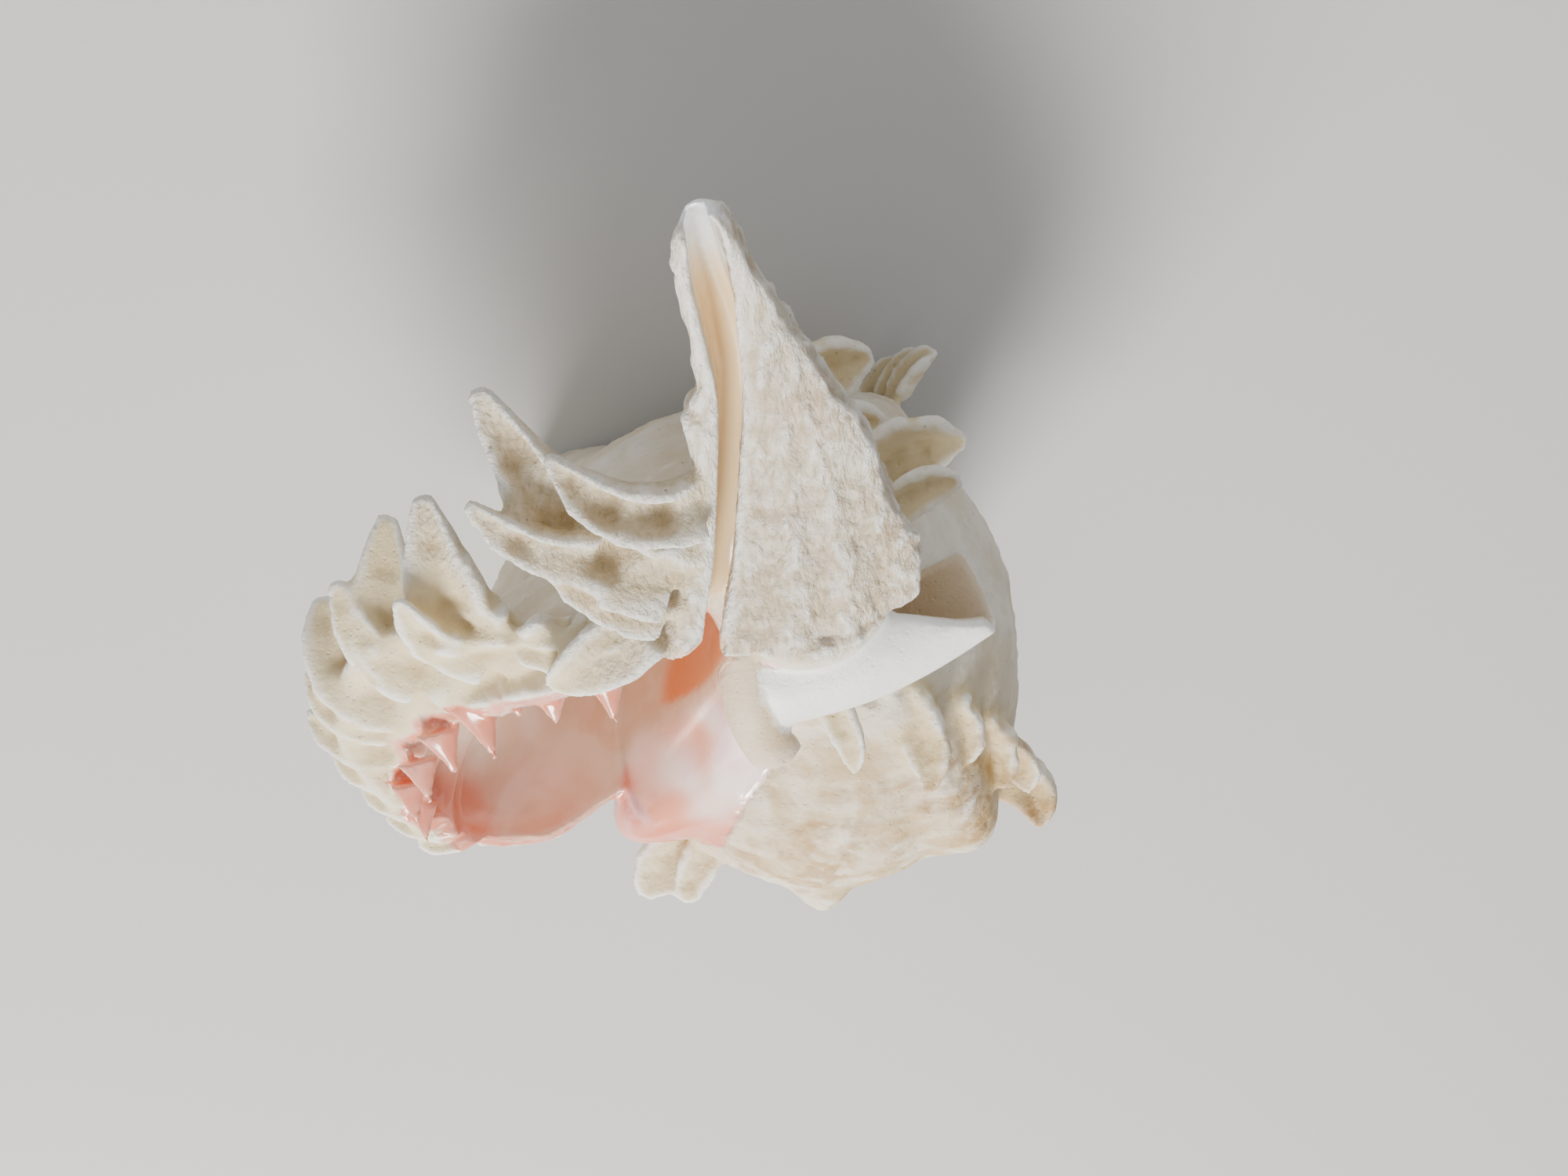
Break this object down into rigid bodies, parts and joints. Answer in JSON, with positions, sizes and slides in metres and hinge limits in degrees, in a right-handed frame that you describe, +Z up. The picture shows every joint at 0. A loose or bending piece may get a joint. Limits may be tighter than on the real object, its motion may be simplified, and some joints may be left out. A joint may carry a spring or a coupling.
{
  "type": "murex shell",
  "caption": "Large dry murex shell lying on its back and spire, with fluted fronds on three varices, an open pink aperture and a slit, upturned siphonal canal.",
  "frame": {"origin": "centre of the shell's outline on the table it lies on", "axes": "+Z up from the table; the canal points towards -Y and up, the apex lies at +Y; the outer lip is at +X"},
  "size_m": [0.0829, 0.1462, 0.1043],
  "materials": {
    "shell": "chalky rough outside, glossy porcelain round the aperture"
  },
  "bodies": {
    "root": {"murex_shell": "shell"}
  },
  "joints": []
}
